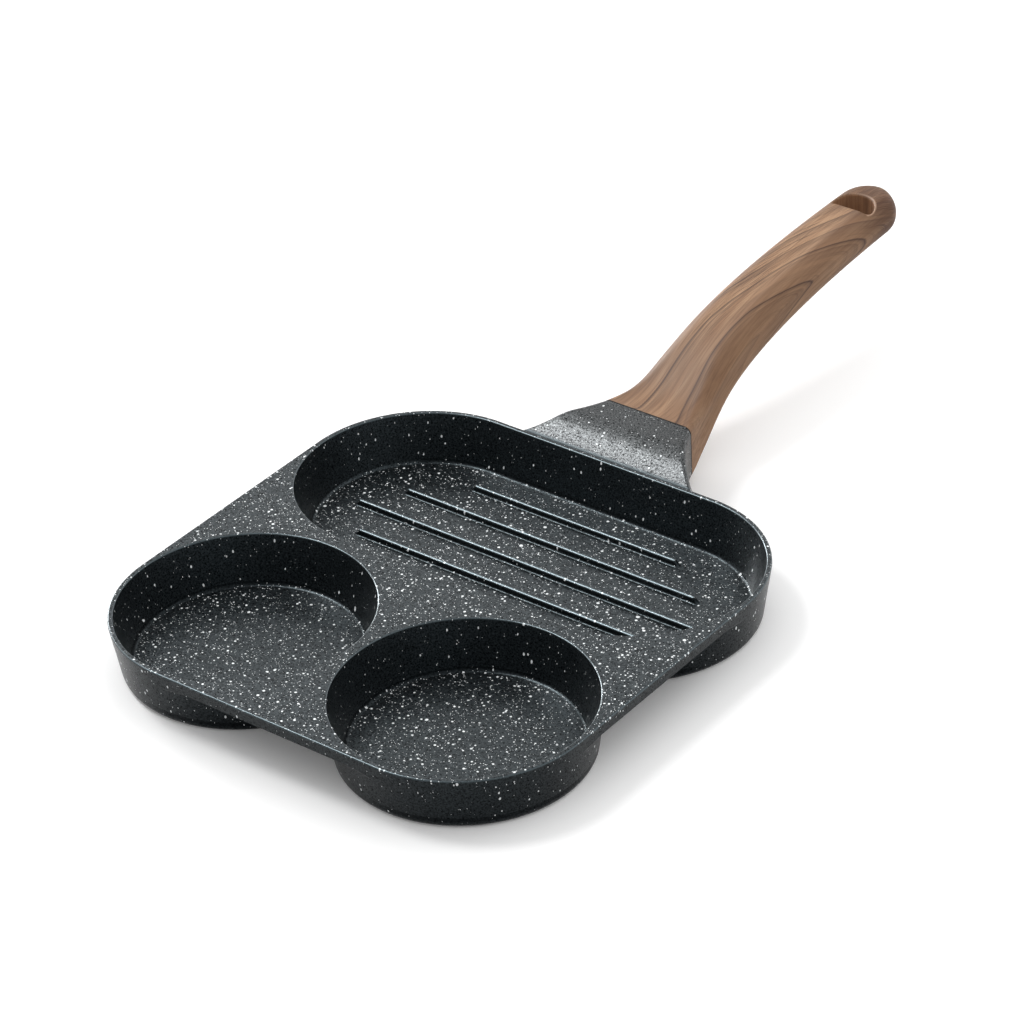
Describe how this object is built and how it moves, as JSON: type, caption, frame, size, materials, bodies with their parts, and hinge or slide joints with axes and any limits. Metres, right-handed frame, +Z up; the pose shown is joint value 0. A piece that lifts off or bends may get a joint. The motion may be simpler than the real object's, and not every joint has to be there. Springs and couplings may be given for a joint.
{
  "type": "divided breakfast pan",
  "caption": "Square cast frying pan divided into round egg wells and a long ribbed well, with a flared neck and a swept wood-look handle that has a hang hole.",
  "frame": {"origin": "on the surface that the pan stands on, below the middle of its overall length and width", "axes": "+Z up, +Y from the pan towards the handle's end, +X to the right when the handle points away from the viewer"},
  "size_m": [0.1998, 0.3938, 0.054],
  "materials": {
    "coated_aluminium": "cast aluminium under a dark grey speckled stone-look non-stick coating, satin",
    "wood_look_phenolic": "moulded phenolic with a printed brown wood grain, satin",
    "steel": "zinc-plated steel"
  },
  "bodies": {
    "root": {"pan_casting": "coated_aluminium", "handle": "wood_look_phenolic", "handle_screw": "steel", "flat_washer": "steel", "spring_washer": "steel"}
  },
  "joints": []
}
